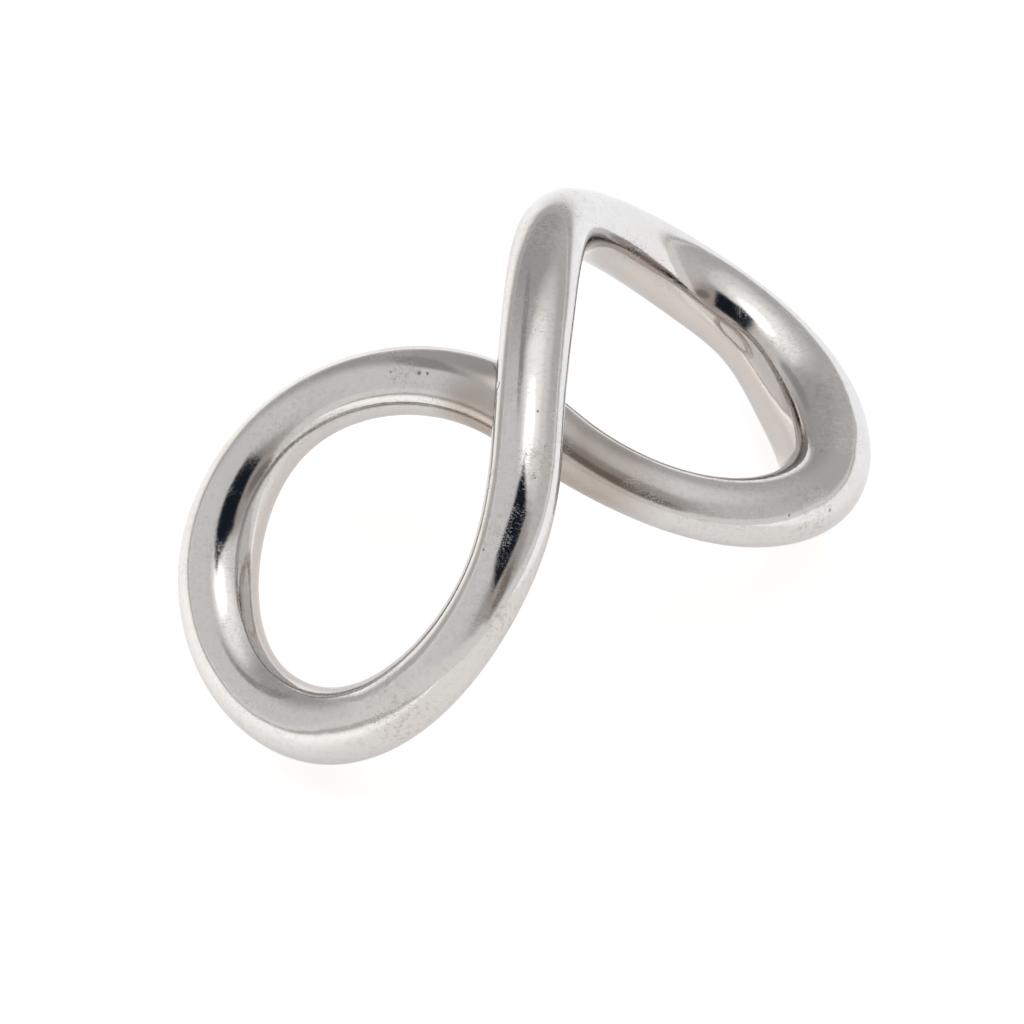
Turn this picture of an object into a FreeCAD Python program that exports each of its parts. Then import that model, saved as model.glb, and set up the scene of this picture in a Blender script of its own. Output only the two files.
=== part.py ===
import FreeCAD, Part
import Sketcher
import math
import os

# A free-standing ornament: one closed round bar bent into a figure of eight that crosses once.
# It is two solid castings, one loop each, joined end to end at the crossing.
# Each butt joint is lined up by a hidden dowel and closed by a solder ring dressed flush.
# Lengths are in millimetres. The ornament stands on z = 0 and its front looks along -Y.

doc = FreeCAD.newDocument("figure_eight_bar")
sheet = doc.addObject("Spreadsheet::Sheet", "sizes")

# Driving dimensions. Half lengths are measured to the bar's centreline.
SIZES = [
    ("half_length", 46.0),
    ("half_width", 46.0),
    ("clear_height", 47.0),
    ("foot_dressing", 0.3),
    ("dowel_diameter", 5.0),
    ("dowel_length", 16.0),
    ("dowel_chamfer", 0.5),
    ("dowel_end_clearance", 0.5),
    ("solder_ring_width", 0.8),
    ("solder_ring_depth", 1.2),
    ("tool_overrun", 3.0),
]

# The bar's diameter at each station, in order along the bar.
BAR_DIAMETERS = [
    ("crossing_front", 10.6),
    ("front_rise", 11.0),
    ("peak", 11.1),
    ("far_slope", 11.5),
    ("far_shoulder", 12.9),
    ("far_bend", 13.4),
    ("right_back", 15.8),
    ("right_end", 13.2),
    ("right_front", 10.6),
    ("low_bar", 10.1),
    ("crossing_back", 10.8),
    ("left_back", 11.0),
    ("left_shoulder", 10.5),
    ("left_end", 12.6),
    ("left_front", 11.4),
    ("near_bend", 11.7),
    ("near_rise", 10.1),
    ("near_bar", 10.7),
]

# Where each station lies: x as a share of half_length, y as a share of half_width, and the
# height of the bar's underside above the table as a share of clear_height.
STATION_SHARES = {
    "crossing_front": (-0.061, -0.245, 1.009),
    "front_rise": (-0.094, 0.140, 1.023),
    "peak": (-0.100, 0.514, 0.903),
    "far_slope": (0.056, 0.898, 0.502),
    "far_shoulder": (0.455, 1.003, 0.116),
    "far_bend": (0.630, 0.931, 0.060),
    "right_back": (0.838, 0.733, 0.000),
    "right_end": (0.948, 0.257, 0.174),
    "right_front": (0.681, -0.057, 0.401),
    "low_bar": (0.097, -0.103, 0.644),
    "crossing_back": (-0.042, -0.067, 0.695),
    "left_back": (-0.211, 0.003, 0.692),
    "left_shoulder": (-0.858, -0.057, 0.347),
    "left_end": (-0.979, -0.408, 0.057),
    "left_front": (-0.753, -0.879, 0.019),
    "near_bend": (-0.584, -0.985, 0.075),
    "near_rise": (-0.063, -0.769, 0.778),
    "near_bar": (-0.032, -0.563, 0.905),
}

cells = SIZES + [(name + "_diameter", diameter) for name, diameter in BAR_DIAMETERS]
for row, (alias, value) in enumerate(cells, start=1):
    sheet.set("A%d" % row, alias)
    sheet.set("B%d" % row, str(value))
    sheet.setAlias("B%d" % row, alias)
doc.recompute()


def size(alias):
    """Read one named size from the sheet."""
    return float(sheet.get(alias))


# The centreline is a closed smooth curve through the stations.
# The bar is then let down by foot_dressing, so that its two lowest spots can be rubbed flat.
STATIONS = [name for name, diameter in BAR_DIAMETERS]


def station_point(name):
    """Centre of the bar at a station."""
    x_share, y_share, underside_share = STATION_SHARES[name]
    underside = underside_share * size("clear_height") - size("foot_dressing")
    return FreeCAD.Vector(
        x_share * size("half_length"),
        y_share * size("half_width"),
        underside + size(name + "_diameter") / 2,
    )


def chord_runs(points):
    """Distance run along the closed chain of points, starting at zero."""
    runs = [0]
    for here, there in zip(points, points[1:] + points[:1]):
        runs.append(runs[-1] + (there - here).Length)
    return runs


station_points = [station_point(name) for name in STATIONS]
station_runs = chord_runs(station_points)
whole_run = station_runs[-1]
run_of = dict(zip(STATIONS, station_runs))

centreline = Part.BSplineCurve()
centreline.interpolate(Points=station_points, PeriodicFlag=True, Parameters=station_runs)


# The diameter swells and thins by the same rule: it is the height of a second closed curve,
# drawn above a ring whose angle follows the run.
def diameter_curve():
    ring_radius = size("half_length")
    points = []
    for name in STATIONS:
        angle = 2 * math.pi * run_of[name] / whole_run
        points.append(FreeCAD.Vector(
            ring_radius * math.cos(angle),
            ring_radius * math.sin(angle),
            size(name + "_diameter"),
        ))
    curve = Part.BSplineCurve()
    curve.interpolate(Points=points, PeriodicFlag=True, Parameters=station_runs)
    return curve


diameters = diameter_curve()


def bar_at(run):
    """Centre, direction and radius of the bar at a distance run along it."""
    lap_run = run % whole_run
    direction = FreeCAD.Vector(*centreline.tangent(lap_run)[0])
    return centreline.value(lap_run), direction, diameters.value(lap_run).z / 2


# The bar itself is a smooth loft through round sections. Each section is four quarter arcs,
# and each starts in line with the last, so that the loft doesn't twist.
QUARTERS = 4


def section_wire(centre, direction, across, radius):
    upward = direction.cross(across)
    rim = []
    for eighth in range(2 * QUARTERS + 1):
        angle = math.pi * eighth / QUARTERS
        rim.append(centre + (across * math.cos(angle) + upward * math.sin(angle)) * radius)
    arcs = [Part.Arc(*rim[2 * quarter:2 * quarter + 3]).toShape() for quarter in range(QUARTERS)]
    return Part.Wire(arcs)


def bar_between(start_run, end_run, spans):
    """Solid bar from one distance run to another."""
    wires = []
    across = bar_at(start_run)[1].cross(FreeCAD.Vector(0, 0, 1))
    for span in range(spans + 1):
        centre, direction, radius = bar_at(start_run + (end_run - start_run) * span / spans)
        across = across - direction * across.dot(direction)
        across.normalize()
        wires.append(section_wire(centre, direction, across, radius))
    return Part.makeLoft(wires, True, False)


def add_bar(name, start_run, end_run, spans):
    """Put a stretch of the bar in the document."""
    bar = doc.addObject("Part::Feature", name)
    bar.Shape = bar_between(start_run, end_run, spans)
    return bar


# Joint tools. Their own Z axis runs along the bar, and their origin is the butt face's centre.
def joint_placement(station, back_off=0):
    centre, direction, radius = bar_at(run_of[station])
    turn = FreeCAD.Rotation(FreeCAD.Vector(0, 0, 1), direction)
    return FreeCAD.Placement(centre - direction * back_off, turn)


def joint_cylinder(name, station, radius_rule, length_rule):
    """Cylinder centred on a joint, with both sizes bound to the sheet."""
    cylinder = doc.addObject("Part::Cylinder", name)
    cylinder.setExpression("Radius", radius_rule)
    cylinder.setExpression("Height", length_rule)
    doc.recompute()
    cylinder.Placement = joint_placement(station, cylinder.Height.Value / 2)
    return cylinder


def solder_rebate(joint, station):
    """The ring-shaped space that both bar ends leave round the joint."""
    outside = joint_cylinder(
        joint + "_rebate_outside", station,
        "sizes.%s_diameter / 2 + sizes.tool_overrun" % station, "sizes.solder_ring_width")
    core = joint_cylinder(
        joint + "_rebate_core", station,
        "sizes.%s_diameter / 2 - sizes.solder_ring_depth" % station, "sizes.solder_ring_width")
    rebate = doc.addObject("Part::Cut", joint + "_rebate")
    rebate.Base = outside
    rebate.Tool = core
    return rebate


def dowel_hole(joint, station):
    return joint_cylinder(
        joint + "_dowel_hole", station,
        "sizes.dowel_diameter / 2", "sizes.dowel_length + 2 * sizes.dowel_end_clearance")


# Everything below the table top is rubbed away from the castings' feet.
def table_side():
    slab = doc.addObject("Part::Box", "table_side")
    slab.setExpression("Length", "2 * sizes.half_length + 4 * sizes.tool_overrun")
    slab.setExpression("Width", "2 * sizes.half_width + 4 * sizes.tool_overrun")
    slab.setExpression("Height", "sizes.tool_overrun")
    doc.recompute()
    corner = FreeCAD.Vector(-slab.Length.Value / 2, -slab.Width.Value / 2, -slab.Height.Value)
    slab.Placement = FreeCAD.Placement(corner, FreeCAD.Rotation())
    return slab


JOINTS = {"front": "crossing_front", "back": "crossing_back"}
rebates = {joint: solder_rebate(joint, station) for joint, station in JOINTS.items()}
dowel_holes = {joint: dowel_hole(joint, station) for joint, station in JOINTS.items()}

cutters = doc.addObject("Part::MultiFuse", "casting_cutters")
cutters.Shapes = [table_side()] + list(rebates.values()) + list(dowel_holes.values())


# The two castings, one loop each.
CASTING_SPAN_COUNT = 48


def loop_casting(name, start_run, end_run):
    casting = doc.addObject("Part::Cut", name)
    casting.Label = name
    casting.Base = add_bar(name + "_bar", start_run, end_run, CASTING_SPAN_COUNT)
    casting.Tool = cutters
    return casting


# A solder ring is the bar's own round outside, kept only in the rebate.
RING_SPAN_COUNT = 6


def solder_ring(name, joint):
    middle_run = run_of[JOINTS[joint]]
    reach = size("solder_ring_width")
    ring = doc.addObject("Part::Common", name)
    ring.Label = name
    ring.Base = add_bar(name + "_bar", middle_run - reach, middle_run + reach, RING_SPAN_COUNT)
    ring.Tool = rebates[joint]
    return ring


# A dowel is a round pin padded both ways from the butt face, with both rims chamfered.
def origin_plane(body, role):
    return [feature for feature in body.Origin.OriginFeatures if feature.Role == role][0]


def dowel(name, joint):
    body = doc.addObject("PartDesign::Body", name)
    body.Label = name
    outline = body.newObject("Sketcher::SketchObject", name + "_outline")
    outline.AttachmentSupport = [(origin_plane(body, "XY_Plane"), "")]
    outline.MapMode = "FlatFace"
    circle = Part.Circle(FreeCAD.Vector(), FreeCAD.Vector(0, 0, 1), size("dowel_diameter") / 2)
    outline.addGeometry(circle)
    outline.addConstraint(Sketcher.Constraint("Coincident", 0, 3, -1, 1))
    outline.addConstraint(Sketcher.Constraint("Diameter", 0, size("dowel_diameter")))
    outline.renameConstraint(1, "pin_diameter")
    outline.setExpression("Constraints.pin_diameter", "sizes.dowel_diameter")
    pin = body.newObject("PartDesign::Pad", name + "_pin")
    pin.Profile = outline
    pin.Midplane = True
    pin.setExpression("Length", "sizes.dowel_length")
    doc.recompute()
    ends = ["Face%d" % number for number, face in enumerate(pin.Shape.Faces, start=1)
            if isinstance(face.Surface, Part.Plane)]
    rims = body.newObject("PartDesign::Chamfer", name + "_rims")
    rims.Base = (pin, ends)
    rims.setExpression("Size", "sizes.dowel_chamfer")
    body.Placement = joint_placement(JOINTS[joint])
    return body


pieces = [
    loop_casting("right_loop_casting", run_of["crossing_front"], run_of["crossing_back"]),
    loop_casting("left_loop_casting", run_of["crossing_back"], whole_run),
    solder_ring("front_solder_ring", "front"),
    solder_ring("back_solder_ring", "back"),
    dowel("front_dowel", "front"),
    dowel("back_dowel", "back"),
]
doc.recompute()

# Check every object, then write one file for each piece.
for item in doc.Objects:
    if "Invalid" in item.State or "Error" in item.State:
        raise RuntimeError(item.Name + " did not build")
for piece in pieces:
    shape = piece.Shape
    if shape.isNull() or not shape.isValid() or len(shape.Solids) != 1:
        raise RuntimeError(piece.Label + " is not one valid solid")

os.makedirs("parts", exist_ok=True)
for piece in pieces:
    piece.Shape.exportStep("parts/" + piece.Label + ".step")
    box = piece.Shape.optimalBoundingBox(True)
    print("%-19s %8.1f mm3  x %6.2f to %6.2f  y %6.2f to %6.2f  z %6.2f to %6.2f" % (
        piece.Label, piece.Shape.Volume, box.XMin, box.XMax, box.YMin, box.YMax, box.ZMin, box.ZMax))
    for face in piece.Shape.Faces:
        if isinstance(face.Surface, Part.Plane) and abs(face.CenterOfMass.z) < face.Tolerance:
            spot = face.CenterOfMass
            print("    foot of %.1f mm2 at x %.2f, y %.2f" % (face.Area, spot.x, spot.y))
print("bar length %.1f mm" % centreline.length())
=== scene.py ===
# %% [markdown]
# # A polished figure-eight bar, photographed in a studio
# The ornament is one round silver-coloured bar, cast in two loops, joined end to end, and
# polished until it is a mirror. A mirror has almost no colour of its own: what the eye reads as
# its shape is the room bent round it. So this lesson spends its effort on two things. The bar's
# surface has to be truly smooth, and the room round it has to hold the right light and dark.
#
# The packed model is loaded first as a fixed frame. Everything after it is measured from there.

# %% Load the frame
import math
import bpy
import numpy as np
from mathutils import Matrix, Vector


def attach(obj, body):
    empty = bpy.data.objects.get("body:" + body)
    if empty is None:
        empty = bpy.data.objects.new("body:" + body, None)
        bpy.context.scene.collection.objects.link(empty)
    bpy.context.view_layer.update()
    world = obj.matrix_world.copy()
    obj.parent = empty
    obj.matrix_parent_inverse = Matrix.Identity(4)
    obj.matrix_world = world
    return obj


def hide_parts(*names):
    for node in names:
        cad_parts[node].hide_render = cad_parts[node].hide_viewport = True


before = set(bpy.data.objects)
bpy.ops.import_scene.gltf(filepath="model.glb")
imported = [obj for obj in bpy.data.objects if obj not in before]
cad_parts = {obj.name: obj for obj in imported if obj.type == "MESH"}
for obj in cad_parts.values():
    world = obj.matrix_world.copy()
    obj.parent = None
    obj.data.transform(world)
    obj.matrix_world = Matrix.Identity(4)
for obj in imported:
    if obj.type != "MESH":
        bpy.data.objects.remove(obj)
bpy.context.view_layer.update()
print("frame nodes:", ", ".join(sorted(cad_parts)))

# %% [markdown]
# ## The line of the bar
# The maker of such a bar thinks in a few stations: the crossing, the peak, the far bend, the end
# of each loop. Between them the bar flows in one smooth curve, and its thickness swells and thins
# in the same way. The stations could be joined with a Blender curve and a bevel, but then the
# thickness would follow the control points only roughly. A closed cubic spline worked out here
# passes through every station exactly, with no kink in its bend, which a mirror would show.

# %% Stations along the bar
MM = 0.001
HALF_LENGTH = 46 * MM
HALF_WIDTH = 46 * MM
CLEAR_HEIGHT = 47 * MM
FOOT_DRESSING = 0.3 * MM

# Name, x share of the half length, y share of the half width, share of the clear height at
# which the bar's underside runs, and the bar's diameter in millimetres.
STATION_SHARES = [
    ("crossing_front", -0.061, -0.245, 1.009, 10.6),
    ("front_rise", -0.094, 0.140, 1.023, 11.0),
    ("peak", -0.100, 0.514, 0.903, 11.1),
    ("far_slope", 0.056, 0.898, 0.502, 11.5),
    ("far_shoulder", 0.455, 1.003, 0.116, 12.9),
    ("far_bend", 0.630, 0.931, 0.060, 13.4),
    ("right_back", 0.838, 0.733, 0.000, 15.8),
    ("right_end", 0.948, 0.257, 0.174, 13.2),
    ("right_front", 0.681, -0.057, 0.401, 10.6),
    ("low_bar", 0.097, -0.103, 0.644, 10.1),
    ("crossing_back", -0.042, -0.067, 0.695, 10.8),
    ("left_back", -0.211, 0.003, 0.692, 11.0),
    ("left_shoulder", -0.858, -0.057, 0.347, 10.5),
    ("left_end", -0.979, -0.408, 0.057, 12.6),
    ("left_front", -0.753, -0.879, 0.019, 11.4),
    ("near_bend", -0.584, -0.985, 0.075, 11.7),
    ("near_rise", -0.063, -0.769, 0.778, 10.1),
    ("near_bar", -0.032, -0.563, 0.905, 10.7),
]


def station_row(x_share, y_share, underside_share, diameter):
    """Centre and radius of the bar at a station."""
    radius = diameter * MM / 2
    height = underside_share * CLEAR_HEIGHT - FOOT_DRESSING + radius
    return [x_share * HALF_LENGTH, y_share * HALF_WIDTH, height, radius]


stations = np.array([station_row(*row[1:]) for row in STATION_SHARES])
next_stations = np.roll(stations, -1, axis=0)
gaps = np.linalg.norm((next_stations - stations)[:, :3], axis=1)
runs = np.concatenate([[0], np.cumsum(gaps)])
WHOLE_RUN = runs[-1]
run_of = {row[0]: run for row, run in zip(STATION_SHARES, runs)}
print("%d stations, %.1f mm round" % (len(stations), WHOLE_RUN / MM))


# %% A closed cubic spline through the stations
def spline_bends(values):
    """Second derivatives at the stations that make the closed curve smooth everywhere."""
    count = len(values)
    system = np.zeros((count, count))
    wanted = np.zeros_like(values)
    for here in range(count):
        before, after = gaps[here - 1], gaps[here]
        system[here, here - 1] += before
        system[here, here] += 2 * (before + after)
        system[here, (here + 1) % count] += after
        rise_after = (values[(here + 1) % count] - values[here]) / after
        rise_before = (values[here] - values[here - 1]) / before
        wanted[here] = 6 * (rise_after - rise_before)
    return np.linalg.solve(system, wanted)


bends = spline_bends(stations)


def bar_at(run):
    """Rows of x, y, z, radius and their rates of change at distances run along the bar."""
    run = np.mod(run, WHOLE_RUN)
    here = np.clip(np.searchsorted(runs, run, "right") - 1, 0, len(stations) - 1)
    there = (here + 1) % len(stations)
    gap = gaps[here][:, None]
    done = run[:, None] - runs[here][:, None]
    left = gap - done
    start, end = stations[here], stations[there]
    start_bend, end_bend = bends[here], bends[there]
    place = (start_bend * left ** 3 + end_bend * done ** 3) / (6 * gap)
    place += (start / gap - start_bend * gap / 6) * left + (end / gap - end_bend * gap / 6) * done
    rate = (end_bend * done ** 2 - start_bend * left ** 2) / (2 * gap)
    rate += (end - start) / gap - (end_bend - start_bend) * gap / 6
    return place, rate


LINE_SAMPLES = 2000
line = bar_at(np.linspace(0, WHOLE_RUN, LINE_SAMPLES))[0]
line_length = np.linalg.norm(np.diff(line[:, :3], axis=0), axis=1).sum()
thinnest, thickest = 2 * line[:, 3].min(), 2 * line[:, 3].max()
print("middle line %.0f mm, bar %.1f to %.1f mm thick"
      % (line_length / MM, thinnest / MM, thickest / MM))

# %% [markdown]
# ## The skin of the bar
# Each section of the bar is a ring of points, and each ring is turned in line with the last one,
# so the mesh doesn't twist. Rings set every third of a millimetre make facets too small to see.
# Shading normals averaged from facets would still ripple in a mirror, so each point gets the
# exact normal of the swelling bar instead. The skin is set back by a hair, because the packed
# solid has flat facets of its own and the dressed bar has to stay inside their box.

# %% Rings with exact normals
RING_POINTS = 112
RING_STEP = 0.34 * MM
SET_BACK = 0.015 * MM
ring_angles = 2 * math.pi * np.arange(RING_POINTS) / RING_POINTS


def ring_frames(directions):
    """For each section, two directions across the bar that never twist along it."""
    across = np.cross(directions[0], [0, 0, 1])
    rows = []
    for direction in directions:
        across = across - direction * across.dot(direction)
        across = across / np.linalg.norm(across)
        rows.append([across, np.cross(direction, across)])
    return np.array(rows)


def bar_skin(start, end, steps, shrink=SET_BACK):
    """Points and normals of the bar's surface, shrunk a little, between two distances run."""
    place, rate = bar_at(np.linspace(start, end, steps + 1))
    speed = np.linalg.norm(rate[:, :3], axis=1)
    directions = rate[:, :3] / speed[:, None]
    flare = rate[:, 3] / speed
    frames = ring_frames(directions)
    outward = (
        np.cos(ring_angles)[None, :, None] * frames[:, None, 0]
        + np.sin(ring_angles)[None, :, None] * frames[:, None, 1]
    )
    points = place[:, None, :3] + (place[:, 3] - shrink)[:, None, None] * outward
    normals = outward - flare[:, None, None] * directions[:, None]
    return points, normals / np.linalg.norm(normals, axis=2)[..., None]


print("facets %.2f mm along the bar and up to %.2f mm round it"
      % (RING_STEP / MM, math.pi * thickest / RING_POINTS / MM))

# %% [markdown]
# ## The marks of its life
# The photograph shows one small nick on the left edge of the front bar, a little behind the
# joint. A bump in the material would do for a scratch, but this is a real dent that can be seen
# against the light, so it is pressed into the mesh, and the normals follow the dent's slope. The
# two spots that the ornament stands on are rubbed flat, as a maker does on a sheet of abrasive.

# %% The nick
NICK_SHARE = 0.0077
NICK_TURN_SHARE = 0.804
NICK_DEPTH = 0.13 * MM
NICK_SPREAD = 0.42 * MM


def place_on_bar(share, turn_share):
    """A spot on the skin, found by its share round the bar and its turn from the section's top."""
    run = share * WHOLE_RUN
    ring = bar_skin(run, run + RING_STEP, 1)[0][0]
    top = ring[:, 2].argmax()
    return ring[(top + round(turn_share * RING_POINTS)) % RING_POINTS]


NICK = place_on_bar(NICK_SHARE, NICK_TURN_SHARE)


def with_nick(points, normals):
    """Press the nick into a stretch of skin."""
    away = points - NICK
    distance = np.linalg.norm(away, axis=-1, keepdims=True)
    depth = NICK_DEPTH * np.exp(-(distance / NICK_SPREAD) ** 2)
    slope = 2 * depth / NICK_SPREAD ** 2
    dented = points - normals * depth
    tilted = normals - away * slope
    return dented, tilted / np.linalg.norm(tilted, axis=-1, keepdims=True)


print("nick at", [round(value / MM, 1) for value in NICK], "mm")


# %% The feet
def with_flat_feet(points, normals):
    """Rub away what lies below the table top."""
    below = points[..., 2] < 0
    print("points rubbed flat:", below.sum())
    points[below, 2] = 0
    normals[below] = [0, 0, -1]
    return points, normals


# %% [markdown]
# ## From rings to pieces
# The two castings meet in the middle of each joint, on a core that is narrower than the bar. Each
# could be cut out of a whole bar with a boolean, but a boolean leaves ragged faces and averaged
# normals. Here the rings simply step inwards at the joint, and one helper turns rings into a
# mesh: open with two end caps for a casting, or joined up with itself for a ring of solder.


# %% Mesh helpers
def grid_faces(ring_count, closed):
    """Four-sided faces between neighbouring rings."""
    faces = []
    last = ring_count if closed else ring_count - 1
    for ring in range(last):
        this = ring * RING_POINTS
        following = (ring + 1) % ring_count * RING_POINTS
        for spot in range(RING_POINTS):
            beside = (spot + 1) % RING_POINTS
            faces.append((this + spot, this + beside, following + beside, following + spot))
    return faces


def make_piece(name, points, normals, closed):
    """A mesh object from rings of points, with exact shading normals and flat end caps."""
    ring_count = len(points)
    faces = grid_faces(ring_count, closed)
    if not closed:
        faces.append(tuple(reversed(range(RING_POINTS))))
        faces.append(tuple(range((ring_count - 1) * RING_POINTS, ring_count * RING_POINTS)))
    mesh = bpy.data.meshes.new(name)
    mesh.from_pydata(points.reshape(-1, 3).tolist(), [], faces)
    mesh.polygons.foreach_set("use_smooth", [len(face) == 4 for face in faces])
    mesh.normals_split_custom_set_from_vertices(normals.reshape(-1, 3).tolist())
    piece = bpy.data.objects.new(name, mesh)
    bpy.context.scene.collection.objects.link(piece)
    print("%s: %d rings of %d points" % (name, ring_count, RING_POINTS))
    return piece


# %% The two castings
SOLDER_WIDTH = 0.8 * MM
SOLDER_DEPTH = 1.2 * MM
HALF_SEAM = SOLDER_WIDTH / 2


def lined_up(core, skin_ring):
    """Turn the rings of a core so that their points stand under the skin's points."""
    nearest = np.linalg.norm(core[0] - skin_ring[0], axis=1).argmin()
    return np.roll(core, -nearest, axis=1)


def casting(name, start, end):
    """One loop of the bar, with a narrower core at both ends for the solder."""
    steps = round((end - start) / RING_STEP)
    skin, skin_normals = bar_skin(start + HALF_SEAM, end - HALF_SEAM, steps)
    skin, skin_normals = with_flat_feet(*with_nick(skin, skin_normals))
    first_core, first_normals = bar_skin(start, start + HALF_SEAM, 1, SOLDER_DEPTH)
    last_core, last_normals = bar_skin(end - HALF_SEAM, end, 1, SOLDER_DEPTH)
    first_core = lined_up(first_core, skin[0])
    last_core = lined_up(last_core, skin[-1])
    points = np.concatenate([first_core, skin, last_core])
    normals = np.concatenate([first_normals, skin_normals, last_normals])
    return make_piece(name, points, normals, closed=False)


right_loop = casting("right_loop_skin", 0, run_of["crossing_back"])
left_loop = casting("left_loop_skin", run_of["crossing_back"], WHOLE_RUN)

# %% [markdown]
# ## The solder rings
# A well dressed seam hardly shows. Its outside is the bar's own surface, only a shade warmer, so
# the ring takes its outer rings from the same skin as the castings and closes inside on the
# core. A band laid over the bar would be simpler to make, but its edge would catch the light.

# %% The two solder rings
SEAM_STEPS = 4


def solder_ring(name, middle):
    """A ring of solder: the bar's own skin outside, and the core's surface inside."""
    start, end = middle - HALF_SEAM, middle + HALF_SEAM
    outside, outside_normals = with_nick(*bar_skin(start, end, SEAM_STEPS))
    inside, inside_normals = bar_skin(start, end, 1, SOLDER_DEPTH)
    points = np.concatenate([outside, inside[::-1]])
    normals = np.concatenate([outside_normals, -inside_normals[::-1]])
    return make_piece(name, points, normals, closed=True)


front_solder = solder_ring("front_solder_skin", 0)
back_solder = solder_ring("back_solder_skin", run_of["crossing_back"])

# %% [markdown]
# ## Words for building a finish
# A material in Blender is a tree of small nodes. It can be wired by hand in the editor, but a
# metal with many layers soon fills the screen. A few short words, one for each kind of node that
# is used often, keep the recipe of a finish readable as text.

# %% Node helpers
# The mix node has a socket for each kind of value, and these are the places of its colours.
FIRST_COLOUR, SECOND_COLOUR, MIXED_COLOUR = 6, 7, 2


class Recipe:
    """Short words for building a node tree."""

    def __init__(self, tree):
        self.tree = tree
        tree.nodes.clear()

    def node(self, kind, **settings):
        made = self.tree.nodes.new(kind)
        for name, value in settings.items():
            setattr(made, name, value)
        return made

    def feed(self, socket, value):
        """Set a socket to a value, or link it to another node's output."""
        if isinstance(value, bpy.types.NodeSocket):
            self.tree.links.new(value, socket)
        else:
            socket.default_value = value

    def maths(self, operation, first, second=0.0, clamp=False):
        made = self.node("ShaderNodeMath", operation=operation, use_clamp=clamp)
        self.feed(made.inputs[0], first)
        self.feed(made.inputs[1], second)
        return made.outputs[0]

    def vector_maths(self, operation, first, second):
        made = self.node("ShaderNodeVectorMath", operation=operation)
        self.feed(made.inputs[0], first)
        self.feed(made.inputs[1], second)
        return made.outputs["Value" if operation in ("DOT_PRODUCT", "DISTANCE") else "Vector"]

    def fade(self, value, low, high, from_value=0.0, to_value=1.0):
        """A smooth step from one value to another."""
        made = self.node("ShaderNodeMapRange", interpolation_type="SMOOTHSTEP")
        for socket, number in zip(made.inputs, (value, low, high, from_value, to_value)):
            self.feed(socket, number)
        return made.outputs[0]

    def mix_colours(self, share, first, second):
        made = self.node("ShaderNodeMix", data_type="RGBA")
        self.feed(made.inputs["Factor"], share)
        self.feed(made.inputs[FIRST_COLOUR], first)
        self.feed(made.inputs[SECOND_COLOUR], second)
        return made.outputs[MIXED_COLOUR]

    def noise(self, place, size, detail=2.0, roughness=0.5):
        """Noise whose blobs are about the given size in metres."""
        made = self.node("ShaderNodeTexNoise")
        self.feed(made.inputs["Vector"], place)
        self.feed(made.inputs["Scale"], 1 / size)
        self.feed(made.inputs["Detail"], detail)
        self.feed(made.inputs["Roughness"], roughness)
        return made.outputs[0]

    def bump(self, height, distance, under=None, invert=False):
        """A layer of relief as high as the given distance, laid over the layer under it."""
        made = self.node("ShaderNodeBump", invert=invert)
        made.inputs["Strength"].default_value = 1
        made.inputs["Distance"].default_value = distance
        self.feed(made.inputs["Height"], height)
        if under is not None:
            self.feed(made.inputs["Normal"], under)
        return made.outputs[0]


def start_material(name):
    """A new material, the recipe that builds it, and its shader wired to the output."""
    material = bpy.data.materials.new(name)
    material.use_nodes = True
    recipe = Recipe(material.node_tree)
    shader = recipe.node("ShaderNodeBsdfPrincipled")
    recipe.feed(recipe.node("ShaderNodeOutputMaterial").inputs["Surface"], shader.outputs[0])
    return material, recipe, shader


print("words:", ", ".join(word for word in vars(Recipe) if not word.startswith("_")))

# %% [markdown]
# ## Where the marks lie
# From a step away the metal is clean. Close up it has what every handled casting has: pits that
# crowd together where the metal was poor, hairline scratches and a breath of warm tarnish. The
# back bar also gets spots of painted shade beside the crossing. A picture wrapped round the bar
# could show them, but it would stretch at the bends. Here each mark has a place on the bar, given
# by how far round the bar and how far round the section it lies, so it stays on the metal from
# every side.

# %% Places of the marks
# Share of the way round the bar, share of a turn from the top of the section, cluster radius.
MARK_CLUSTERS = {
    "front_bar_pits": (0.975, 0.05, 5.0 * MM),
    "peak_pits": (0.125, 0.05, 4.0 * MM),
    "left_top_pits": (0.590, 0.93, 3.4 * MM),
    "near_bend_pits": (0.865, 0.14, 8.0 * MM),
    "near_side_pits": (0.915, 0.20, 6.0 * MM),
    "right_end_pits": (0.405, 0.85, 5.5 * MM),
}
# Single pits that the eye picks out: share of the way round, share of a turn, radius.
SINGLE_PITS = [
    (0.5840, 0.929, 0.46 * MM),
    (0.5805, 0.930, 0.32 * MM),
    (0.5960, 0.938, 0.22 * MM),
    (0.3980, 0.830, 0.40 * MM),
    (0.3790, 0.036, 0.30 * MM),
    (0.4200, 0.875, 0.34 * MM),
    (0.9370, 0.902, 0.30 * MM),
    (0.9940, 0.027, 0.24 * MM),
    (0.1020, 0.027, 0.32 * MM),
]
# Spots of painted shade on the back bar at both sides of the crossing, where it mirrors the
# front bar's shaded underside, in the same terms.
CROSSING_SHADE_SPOTS = [(0.508, 0.83, 16 * MM), (0.555, 0.80, 9 * MM)]


def placed(rows):
    """Marks as spots on the skin, each with its radius."""
    return [(tuple(place_on_bar(share, turn)), radius) for share, turn, radius in rows]


cluster_places = placed(MARK_CLUSTERS.values())
pit_places = placed(SINGLE_PITS)
crossing_shade_places = placed(CROSSING_SHADE_SPOTS)


def near_spot(recipe, place, spot, radius, core, strength=1.0):
    """The strength inside a core, a share of the radius wide, fading to zero at the radius."""
    distance = recipe.vector_maths("DISTANCE", place, spot)
    return recipe.fade(distance, core * radius, radius, strength, 0.0)


# The last count is of the spots of painted shade by the crossing.
print("%d clusters, %d single pits, %d tarnished spots"
      % (len(cluster_places), len(pit_places), len(crossing_shade_places)))

# %% How the small marks crowd
CROWD_SIZE = 13 * MM
CROWD_EDGES = (0.50, 0.72)
CROWD_ELSEWHERE = 0.55
CLUSTER_CROWD = 0.9
CLUSTER_CORE = 0.2


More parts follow.
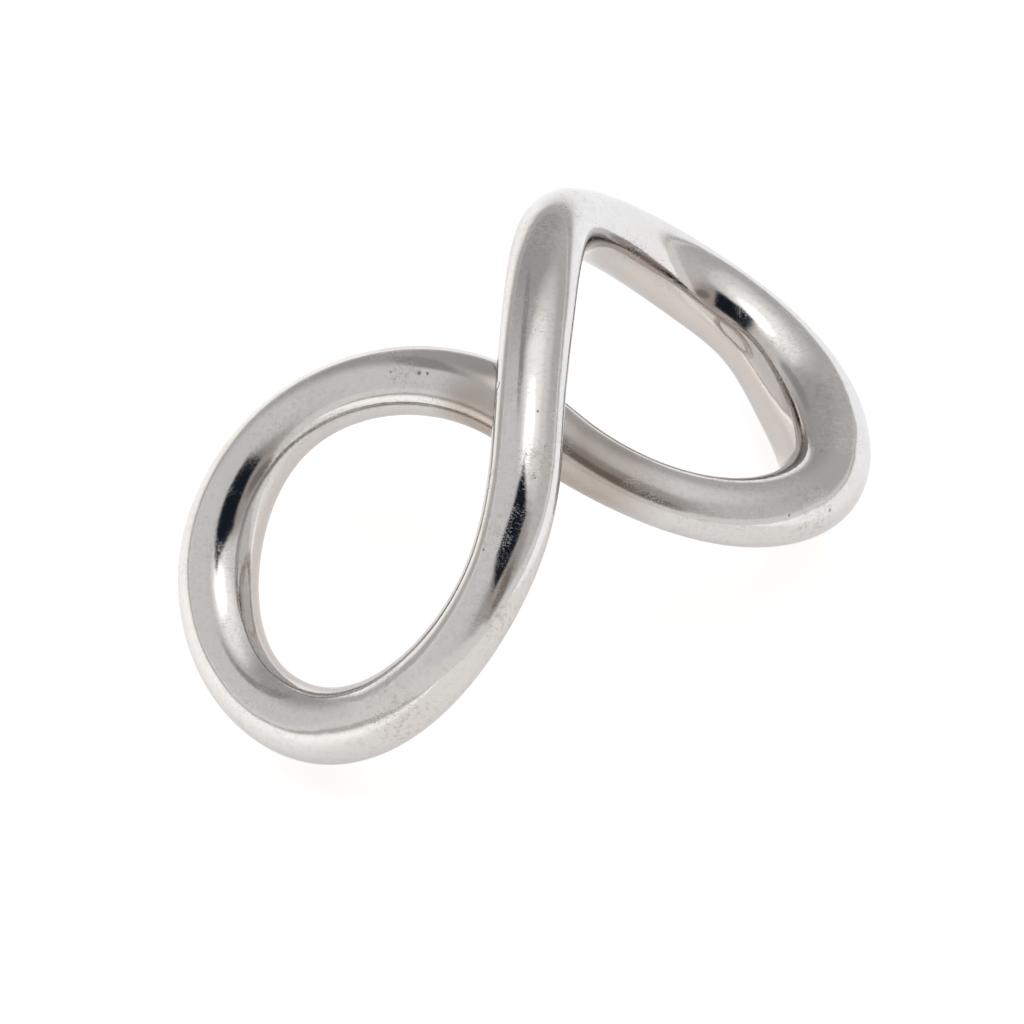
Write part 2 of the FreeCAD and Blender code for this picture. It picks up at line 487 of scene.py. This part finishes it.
def crowding(recipe, place):
    """How thick the small marks lie: dense in the clusters, rare elsewhere."""
    crowd = recipe.fade(recipe.noise(place, CROWD_SIZE), *CROWD_EDGES, 0.0, CROWD_ELSEWHERE)
    for spot, radius in cluster_places:
        near = near_spot(recipe, place, spot, radius, CLUSTER_CORE, CLUSTER_CROWD)
        crowd = recipe.maths("ADD", crowd, near, clamp=True)
    return crowd


print("marks crowd over %.0f mm" % (CROWD_SIZE / MM))

# %% [markdown]
# ## Scratches and pits
# A hairline is what a grain of dust in the cloth leaves, and a pit is a gas bubble of the
# casting that the polishing has opened. Modelled in the mesh they would need millions of faces.
# As noise and cells of the right size, in the metal's own space, they cost nothing, and the same
# value can darken the colour, roughen the polish and press in the relief.

# %% Hairline scratches
HAIR_WIDTH = 0.16 * MM
HAIR_DRAW = 38
HAIR_CRESTS = (0.71, 0.80)
SCRATCH_TURNS = (0.35, 1.25, 2.3, 2.9)
SCRATCH_TILT = 0.6
RUBBED_SIZE = 8 * MM
RUBBED_EDGES = (0.46, 0.62)
SCRATCHES_ELSEWHERE = 0.12


def scratches(recipe, place, crowd):
    """Hairlines in several directions: noise drawn out long and thin, kept only at its crests."""
    total = 0.0
    for turn in SCRATCH_TURNS:
        turned = recipe.node("ShaderNodeMapping", vector_type="TEXTURE")
        recipe.feed(turned.inputs["Vector"], place)
        turned.inputs["Rotation"].default_value = (turn, SCRATCH_TILT * turn, turn)
        turned.inputs["Scale"].default_value = (HAIR_DRAW, 1, 1)
        hairs = recipe.noise(turned.outputs[0], HAIR_WIDTH, detail=0.0)
        total = recipe.maths("ADD", total, recipe.fade(hairs, *HAIR_CRESTS), clamp=True)
    rubbed = recipe.noise(place, RUBBED_SIZE)
    rubbed = recipe.fade(rubbed, *RUBBED_EDGES, SCRATCHES_ELSEWHERE, 1.0)
    return recipe.maths("MULTIPLY", total, recipe.maths("MAXIMUM", rubbed, crowd))


print("hairlines %.2f mm wide in %d directions" % (HAIR_WIDTH / MM, len(SCRATCH_TURNS)))

# %% Casting pits
PIT_SPACING = 0.62 * MM
SMALLEST_PIT, LARGEST_PIT = 0.08, 0.24
PIT_CORE = 0.5
PIT_CHANCE_EDGES = (0.12, 0.50)
SINGLE_PIT_CORE = 0.3


def pits(recipe, place, crowd):
    """Casting pits: small round dips of uneven size, some of them kept where marks crowd."""
    cells = recipe.node("ShaderNodeTexVoronoi", feature="F1")
    recipe.feed(cells.inputs["Vector"], place)
    recipe.feed(cells.inputs["Scale"], 1 / PIT_SPACING)
    chance = recipe.node("ShaderNodeSeparateColor")
    recipe.feed(chance.inputs[0], cells.outputs["Color"])
    size = recipe.fade(chance.outputs[0], 0.0, 1.0, SMALLEST_PIT, LARGEST_PIT)
    reach = recipe.maths("DIVIDE", cells.outputs["Distance"], size)
    dips = recipe.fade(reach, PIT_CORE, 1.0, 1.0, 0.0)
    kept = recipe.fade(recipe.maths("SUBTRACT", crowd, chance.outputs[1]), *PIT_CHANCE_EDGES)
    dips = recipe.maths("MULTIPLY", dips, kept)
    for spot, radius in pit_places:
        single = near_spot(recipe, place, spot, radius, SINGLE_PIT_CORE)
        dips = recipe.maths("MAXIMUM", dips, single)
    return dips


print("small pits %.2f to %.2f mm across"
      % (2 * SMALLEST_PIT * PIT_SPACING / MM, 2 * LARGEST_PIT * PIT_SPACING / MM))

# %% [markdown]
# ## Painted shade
# The walls that face the inside of a loop get a rosy painted shade: in the mirror they show the
# table under the bar, shaded by the bar itself. The back bar just behind the crossing gets a
# deeper painted shade, the front bar's shaded underside seen in its mirror. A shader that feels
# for hollows could find these places, but it is slow and grainy. The direction in which a wall
# faces, and the distance from a known spot, say the same with two plain sums.

# %% Where the painted shade lies
RIGHT_LOOP_MIDDLE = (17 * MM, 19 * MM, 20 * MM)
LEFT_LOOP_MIDDLE = (-21 * MM, -21 * MM, 18 * MM)
LEFT_TO_RIGHT_LOOP = (1, 1, 0)
LOOP_CHANGE = 4 * MM
FACING_INWARDS = (0.30, 0.85)
CROSSING_SHADE_CORE = 0.3


def inner_wall_shade(recipe, place, normal):
    """Painted shade: one on the walls that face the inside of a loop."""
    along = recipe.vector_maths("DOT_PRODUCT", place, LEFT_TO_RIGHT_LOOP)
    in_right_loop = recipe.fade(along, -LOOP_CHANGE, LOOP_CHANGE)
    middle = recipe.mix_colours(in_right_loop, LEFT_LOOP_MIDDLE + (1,), RIGHT_LOOP_MIDDLE + (1,))
    inwards = recipe.vector_maths("SUBTRACT", middle, place)
    inwards = recipe.vector_maths("NORMALIZE", inwards, (0, 0, 0))
    return recipe.fade(recipe.vector_maths("DOT_PRODUCT", inwards, normal), *FACING_INWARDS)


def shade_behind_crossing(recipe, place):
    """Painted shade: one on the back bar just behind the crossing."""
    total = 0.0
    for spot, radius in crossing_shade_places:
        crossing_shade = near_spot(recipe, place, spot, radius, CROSSING_SHADE_CORE)
        total = recipe.maths("MAXIMUM", total, crossing_shade)
    return total


loops_apart = math.dist(LEFT_LOOP_MIDDLE, RIGHT_LOOP_MIDDLE)
print("middles of the loops %.0f mm apart" % (loops_apart / MM))

# %% Colour of the metal
TARNISH = (0.465, 0.432, 0.402, 1)
# Rosy painted shade for the walls that face the inside of a loop.
ROSY_PAINTED_SHADE = (0.560, 0.515, 0.487, 1)
# Deeper painted shade for the back bar beside the crossing.
DEEP_PAINTED_SHADE = (0.370, 0.325, 0.295, 1)
PIT_DARK = (0.21, 0.19, 0.172, 1)
CLOUD_SIZE = 20 * MM
CLOUD_EDGES = (0.45, 0.75)
CLOUD_STRENGTH = 0.45
GRAIN_SIZE = 0.9 * MM
GRAIN_EDGES = (0.45, 0.72)
GRAINS_ELSEWHERE = 0.40
UNEVEN_EDGES = (0.25, 0.7)
UNEVEN_LEAST = 0.55
SCRATCH_STAIN = 0.35


def metal_colour(recipe, colour, place, normal, crowd, smears):
    """The metal's colour, tarnish clouds and grains, and painted shade on inner walls and by the
    crossing.
    """
    clouds = recipe.noise(place, CLOUD_SIZE, detail=3.0)
    clouds = recipe.fade(clouds, *CLOUD_EDGES, 0.0, CLOUD_STRENGTH)
    grains = recipe.fade(recipe.noise(place, GRAIN_SIZE, detail=3.0, roughness=0.65), *GRAIN_EDGES)
    grains = recipe.maths("MULTIPLY", grains, recipe.maths("ADD", crowd, GRAINS_ELSEWHERE))
    uneven = recipe.fade(smears, *UNEVEN_EDGES, UNEVEN_LEAST, 1.0)
    # Painted shade on the inner walls of the loops, uneven in smears.
    walls = recipe.maths("MULTIPLY", inner_wall_shade(recipe, place, normal), uneven)
    # Deep painted shade on the back bar beside the crossing, uneven in smears.
    crossing_shade = recipe.maths("MULTIPLY", shade_behind_crossing(recipe, place), uneven)
    tinted = recipe.mix_colours(recipe.maths("MAXIMUM", clouds, grains), colour, TARNISH)
    tinted = recipe.mix_colours(walls, tinted, ROSY_PAINTED_SHADE)
    return recipe.mix_colours(crossing_shade, tinted, DEEP_PAINTED_SHADE)


def with_marks(recipe, tinted, hairlines, dips):
    """Scratches hold a little tarnish, and pits are dark."""
    rubbed = recipe.mix_colours(recipe.maths("MULTIPLY", hairlines, SCRATCH_STAIN), tinted, TARNISH)
    return recipe.mix_colours(dips, rubbed, PIT_DARK)


print("tarnish in clouds of %.0f mm and grains of %.1f mm" % (CLOUD_SIZE / MM, GRAIN_SIZE / MM))

# %% Relief of the metal
WAVE_SIZE = 7 * MM
WAVE_HEIGHT = 0.09 * MM
PEEL_SIZE = 1.1 * MM
PEEL_HEIGHT = 0.010 * MM
PIT_DEPTH = 0.05 * MM
SCRATCH_DEPTH_SHARE = 0.25


def relief(recipe, place, hairlines, dips):
    """Waves left by the wheel, the fine unevenness of the polish, and the marks cut into it."""
    waves = recipe.bump(recipe.noise(place, WAVE_SIZE, detail=1.0, roughness=0.3), WAVE_HEIGHT)
    peel = recipe.bump(recipe.noise(place, PEEL_SIZE), PEEL_HEIGHT, waves)
    marks = recipe.maths("ADD", recipe.maths("MULTIPLY", hairlines, SCRATCH_DEPTH_SHARE), dips)
    return recipe.bump(marks, PIT_DEPTH, peel, invert=True)


print("waves up to %.2f mm high, pits up to %.2f mm deep" % (WAVE_HEIGHT / MM, PIT_DEPTH / MM))

# %% [markdown]
# ## Polished silver
# The metal is a mirror that isn't quite perfect: sharp where it was polished last and a little
# hazy in smears, with a very slight waviness from the wheel. A plain glossy shader would look
# like chrome on a toy, so roughness, colour and relief all come from the layers above. The solder
# is the same metal, one shade warmer.

# %% The metal from its layers
SILVER = (0.560, 0.547, 0.537, 1)
SOLDER_SILVER = (0.557, 0.540, 0.518, 1)
EDGE_TINT = (0.84, 0.84, 0.84, 1)
SMEAR_SIZE = 10 * MM
HAZE_EDGES = (0.35, 0.8)
POLISH_ROUGHNESS = 0.05
HAZE_ROUGHNESS = 0.13
SCRATCH_ROUGHNESS = 0.14


def polished_metal(name, colour):
    """Hand-polished cast metal."""
    material, recipe, shader = start_material(name)
    coordinates = recipe.node("ShaderNodeTexCoord")
    place, normal = coordinates.outputs["Object"], coordinates.outputs["Normal"]
    crowd = crowding(recipe, place)
    hairlines = scratches(recipe, place, crowd)
    dips = pits(recipe, place, crowd)
    smears = recipe.noise(place, SMEAR_SIZE, detail=4.0, roughness=0.6)
    tinted = metal_colour(recipe, colour, place, normal, crowd, smears)
    recipe.feed(shader.inputs["Base Color"], with_marks(recipe, tinted, hairlines, dips))
    shader.inputs["Metallic"].default_value = 1
    shader.inputs["Specular Tint"].default_value = EDGE_TINT
    haze = recipe.fade(smears, *HAZE_EDGES, POLISH_ROUGHNESS, HAZE_ROUGHNESS)
    rough_hairs = recipe.maths("MULTIPLY", hairlines, SCRATCH_ROUGHNESS)
    recipe.feed(shader.inputs["Roughness"], recipe.maths("ADD", haze, rough_hairs))
    recipe.feed(shader.inputs["Normal"], relief(recipe, place, hairlines, dips))
    print("%s: %d nodes" % (name, len(material.node_tree.nodes)))
    return material


silver = polished_metal("polished_silver", SILVER)
solder = polished_metal("dressed_solder", SOLDER_SILVER)

# %% [markdown]
# ## Turned rod for the dowels
# The dowels are sealed inside the joints and never seen, but they are real pieces with a finish of
# their own: bright rod off a lathe, with the fine grain that the tool leaves. They keep the solids
# of the frame and get only this material.

# %% Dowel material
ROD_GRAIN_SIZE = 0.2 * MM
ROD_GRAIN_EDGES = (0.3, 0.7)
ROD_ROUGHNESS = (0.28, 0.42)
ROD_GRAIN_HEIGHT = 0.01 * MM
ROD_STAIN_SIZE = 3 * MM
ROD_GREY = (0.58, 0.58, 0.58, 1)
ROD_STAIN = (0.48, 0.46, 0.44, 1)


def turned_rod():
    """Bright turned steel with faint stains."""
    material, recipe, shader = start_material("turned_rod")
    place = recipe.node("ShaderNodeTexCoord").outputs["Object"]
    grain = recipe.noise(place, ROD_GRAIN_SIZE)
    stained = recipe.mix_colours(recipe.noise(place, ROD_STAIN_SIZE), ROD_GREY, ROD_STAIN)
    recipe.feed(shader.inputs["Base Color"], stained)
    shader.inputs["Metallic"].default_value = 1
    roughness = recipe.fade(grain, *ROD_GRAIN_EDGES, *ROD_ROUGHNESS)
    recipe.feed(shader.inputs["Roughness"], roughness)
    recipe.feed(shader.inputs["Normal"], recipe.bump(grain, ROD_GRAIN_HEIGHT))
    return material


rod = turned_rod()
for name in ("front_dowel", "back_dowel"):
    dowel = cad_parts[name]
    dowel.data.materials.clear()
    dowel.data.materials.append(rod)
    print("finished:", name)

# %% [markdown]
# ## Putting the pieces on the frame
# Each new skin stands for one solid of the packed model. It could be parented to that solid, but
# the frame's own calls also hide the solid.

# %% Ride and replace
PIECES = [
    (right_loop, "right_loop_casting", "polished_bar", silver),
    (left_loop, "left_loop_casting", "polished_bar", silver),
    (front_solder, "front_solder_ring", "solder", solder),
    (back_solder, "back_solder_ring", "solder", solder),
]
for piece, node_name, slot_name, material in PIECES:
    piece.data.materials.append(material)
    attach(piece, "root")
    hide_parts(node_name)
print("pieces placed:", len(PIECES))

# %% [markdown]
# ## The camera
# The picture was taken from above and in front with a long lens, which keeps both loops at the
# same scale. It leans by about six degrees, so the picture's right-hand direction rises a little.
# A camera could be aimed with a constraint, but the room below is described from the camera's own
# directions, so its place and its three axes are written down as numbers.

# %% Camera
SENSOR_WIDTH_MM = 36
LENS_MM = 193.36
NEAREST_SEEN = 0.05
FARTHEST_SEEN = 50
CAMERA_PLACE = Vector((-2.4, -473.8, 719.1)) * MM
CAMERA_BACK = Vector((0, -0.5545, 0.8322)).normalized()
PICTURE_RIGHT = Vector((0.9812, 0.1606, 0.1070))
CAMERA_UP = CAMERA_BACK.cross(PICTURE_RIGHT).normalized()
CAMERA_RIGHT = CAMERA_UP.cross(CAMERA_BACK).normalized()

camera_data = bpy.data.cameras.new("camera")
camera_data.sensor_width = SENSOR_WIDTH_MM
camera_data.lens = LENS_MM
camera_data.clip_start = NEAREST_SEEN
camera_data.clip_end = FARTHEST_SEEN
camera = bpy.data.objects.new("camera", camera_data)
bpy.context.scene.collection.objects.link(camera)
camera_axes = Matrix((CAMERA_RIGHT, CAMERA_UP, CAMERA_BACK)).transposed()
camera.matrix_world = Matrix.Translation(CAMERA_PLACE) @ camera_axes.to_4x4()
bpy.context.scene.camera = camera
print("camera %.0f mm away" % (CAMERA_PLACE.length / MM))

# %% [markdown]
# ## The table
# A pale table fills the picture and half of every reflection. A white sheet lit by lamps would
# show the ornament's shadow, and the photograph has none, so the table glows by itself, as a
# light table does. The glow is stronger towards the far right and on the left, where the bar
# reflects the brightest paper, and it dims outside the picture, where a lit sheet would end.

# %% Table
TABLE_HALF_SIZE = 2.2
TABLE_DROP = 0.02 * MM
TABLE_ROUGHNESS = 0.9
TABLE_GLOSS = 0.1
TABLE_PAPER = (0.84, 0.82, 0.805, 1)
TABLE_SHADE = (0.48, 0.47, 0.46, 1)
TABLE_GLOW = (0.53, 0.525, 0.52, 1)
TABLE_FAR_GLOW = (0.80, 0.84, 0.89, 1)
TABLE_LEFT_GLOW = (0.95, 0.95, 0.95, 1)
TABLE_DIM_GLOW = (0.26, 0.255, 0.25, 1)
# Distances from the middle of the table, in metres, at which a change begins and ends.
POOL_LEFT_EDGE = (0.078, 0.21)
POOL_FAR_EDGE = (0.125, 0.36)
FAR_BRIGHTENING = (0.03, 0.07)
LEFT_BRIGHTENING = (0.02, 0.065)
BRIGHT_WAY = (0.55, 0.83, 0)


def table_paper():
    """Pale paper that glows by itself, with a dimmer glow outside the picture."""
    material, recipe, shader = start_material("table_paper")
    place = recipe.node("ShaderNodeTexCoord").outputs["Object"]
    to_left = recipe.vector_maths("DOT_PRODUCT", place, (-1, 0, 0))
    to_far = recipe.vector_maths("DOT_PRODUCT", place, (0, 1, 0))
    out_left = recipe.fade(to_left, *POOL_LEFT_EDGE)
    outside = recipe.maths("MAXIMUM", out_left, recipe.fade(to_far, *POOL_FAR_EDGE))
    to_light = recipe.vector_maths("DOT_PRODUCT", place, BRIGHT_WAY)
    far_light = recipe.fade(to_light, *FAR_BRIGHTENING)
    left_light = recipe.fade(to_left, *LEFT_BRIGHTENING)
    glow = recipe.mix_colours(far_light, TABLE_GLOW, TABLE_FAR_GLOW)
    glow = recipe.mix_colours(left_light, glow, TABLE_LEFT_GLOW)
    paper = recipe.mix_colours(outside, TABLE_PAPER, TABLE_SHADE)
    recipe.feed(shader.inputs["Base Color"], paper)
    shader.inputs["Roughness"].default_value = TABLE_ROUGHNESS
    shader.inputs["Specular IOR Level"].default_value = TABLE_GLOSS
    glow = recipe.mix_colours(outside, glow, TABLE_DIM_GLOW)
    recipe.feed(shader.inputs["Emission Color"], glow)
    shader.inputs["Emission Strength"].default_value = 1
    return material


def table_top(reach):
    """A flat sheet a hair below the feet, so that it never flickers through them."""
    mesh = bpy.data.meshes.new("table_top")
    corners = [(-reach, -reach, 0), (reach, -reach, 0), (reach, reach, 0), (-reach, reach, 0)]
    mesh.from_pydata(corners, [], [(0, 1, 2, 3)])
    mesh.materials.append(table_paper())
    top = bpy.data.objects.new("table_top", mesh)
    bpy.context.scene.collection.objects.link(top)
    top.location.z = -TABLE_DROP


table_top(TABLE_HALF_SIZE)
print("table %.1f m across" % (2 * TABLE_HALF_SIZE))

# %% [markdown]
# ## The room in the mirror
# The bar reflects the whole studio. It could be built from lamps and cards, but their edges would
# then have to be placed by trial. Here the room is described as a mirror ball would show it to
# the camera. For each direction the node tree finds the slope that a mirror needs to send the
# camera's view there: zero slope looks back at the camera, and steeper slopes look further round.
# In that picture the camera is a black patch with its stand in grey and brown below it, the
# overhead softbox is a bright patch, the walls are grey with one darker doorway, and the paper
# sweep round the table is pale.

# %% Patches of the mirror ball
# Centre and half size as shares of the ball's radius, softness of the edge, squareness of the
# outline, and colour. Later patches lie over earlier ones.
PATCHES = {
    "softbox_halo": ((0.20, 0.34), (0.31, 0.29), 0.75, 2.5, (1.06, 1.045, 1.03, 1)),
    "doorway": ((-0.285, 0.53), (0.070, 0.16), 0.8, 2.5, (0.41, 0.41, 0.405, 1)),
    "camera_stand": ((0.10, -0.12), (0.27, 0.22), 0.8, 2.5, (0.51, 0.475, 0.45, 1)),
    "shade_of_stand": ((0.185, -0.25), (0.085, 0.11), 0.9, 2.5, (0.30, 0.262, 0.24, 1)),
    "softbox_rim": ((0.090, 0.370), (0.235, 0.185), 0.9, 2.5, (1.46, 1.44, 1.42, 1)),
    "softbox": ((0.050, 0.325), (0.128, 0.088), 0.95, 2.5, (2.3, 2.3, 2.3, 1)),
    "camera_body": ((-0.018, 0.036), (0.248, 0.230), 0.2, 1.1, (0.012, 0.018, 0.027, 1)),
}


def mirror_slopes(recipe, direction):
    """Slopes to the right and upwards at which a mirror sends the camera's view to a direction."""
    halfway = recipe.vector_maths("ADD", direction, tuple(CAMERA_BACK))
    halfway = recipe.vector_maths("NORMALIZE", halfway, (0, 0, 0))
    return [recipe.vector_maths("DOT_PRODUCT", halfway, tuple(axis))
            for axis in (CAMERA_RIGHT, CAMERA_UP)]


def patch_share(recipe, slopes, centre, half_size, softness, squareness):
    """One inside a rounded patch of the mirror ball, fading to zero outside it."""
    parts = []
    for slope, middle, half in zip(slopes, centre, half_size):
        off_centre = recipe.maths("DIVIDE", recipe.maths("SUBTRACT", slope, middle), half)
        parts.append(recipe.maths("POWER", recipe.maths("ABSOLUTE", off_centre), squareness))
    return recipe.fade(recipe.maths("ADD", *parts), 1 - softness, 1 + softness, 1.0, 0.0)


print("patches:", ", ".join(PATCHES))

# %% Walls and paper sweep
WALL_GREY = (0.80, 0.785, 0.77, 1)
LEFT_WALL_GREY = (0.94, 0.945, 0.95, 1)
FAR_WALL_GREY = (0.535, 0.538, 0.538, 1)
FAR_RIGHT_GREY = (0.68, 0.675, 0.67, 1)
PAPER_WHITE = (1.07, 1.05, 1.03, 1)
# Shares of a direction, towards a side of the room, at which a change begins and ends.
LEFT_WALL_EDGES = (-0.8, 0.2)
FAR_RIGHT_EDGES = (-0.1, 0.4)
FAR_WALL_EDGES = (0.12, 0.72)
# The paper rises to this height, less of it at the far side and more at the right.
SWEEP_TOP = 0.12
SWEEP_FAR_DROP = 0.17
SWEEP_RIGHT_RISE = 0.06
SWEEP_SOFTNESS = 0.04


def room_colour(recipe, direction):
    """Walls, paler on the left and darker at the far side, above a white paper sweep."""
    to_right = recipe.vector_maths("DOT_PRODUCT", direction, (1, 0, 0))
    to_far = recipe.vector_maths("DOT_PRODUCT", direction, (0, 1, 0))
    height = recipe.vector_maths("DOT_PRODUCT", direction, (0, 0, 1))
    at_left = recipe.fade(to_right, *LEFT_WALL_EDGES, 1.0, 0.0)
    near_wall = recipe.mix_colours(at_left, WALL_GREY, LEFT_WALL_GREY)
    at_right = recipe.fade(to_right, *FAR_RIGHT_EDGES)
    far_wall = recipe.mix_colours(at_right, FAR_WALL_GREY, FAR_RIGHT_GREY)
    wall = recipe.mix_colours(recipe.fade(to_far, *FAR_WALL_EDGES), near_wall, far_wall)
    far_drop = recipe.maths("MULTIPLY", to_far, SWEEP_FAR_DROP)
    right_rise = recipe.maths("MULTIPLY", to_right, SWEEP_RIGHT_RISE)
    sweep_top = recipe.maths("ADD", recipe.maths("SUBTRACT", SWEEP_TOP, far_drop), right_rise)
    above_sweep = recipe.maths("SUBTRACT", height, sweep_top)
    on_sweep = recipe.fade(above_sweep, -SWEEP_SOFTNESS, SWEEP_SOFTNESS, 1.0, 0.0)
    return recipe.mix_colours(on_sweep, wall, PAPER_WHITE)


print("the sweep rises %.0f degrees above the table" % math.degrees(math.asin(SWEEP_TOP)))


# %% Studio surroundings
def studio():
    """The room's walls and sweep, with the patches laid over them."""
    world = bpy.data.worlds.new("studio")
    bpy.context.scene.world = world
    world.use_nodes = True
    recipe = Recipe(world.node_tree)
    direction = recipe.node("ShaderNodeTexCoord").outputs["Generated"]
    slopes = mirror_slopes(recipe, direction)
    colour = room_colour(recipe, direction)
    for centre, half_size, softness, squareness, tone in PATCHES.values():
        share = patch_share(recipe, slopes, centre, half_size, softness, squareness)
        colour = recipe.mix_colours(share, colour, tone)
    background = recipe.node("ShaderNodeBackground")
    recipe.feed(background.inputs["Color"], colour)
    recipe.feed(recipe.node("ShaderNodeOutputWorld").inputs["Surface"], background.outputs[0])
    print("studio: %d nodes" % len(world.node_tree.nodes))


studio()
bpy.context.scene.view_settings.view_transform = "Standard"

# %% [markdown]
# ## The size
# The dressed model has to stay inside the packed one.
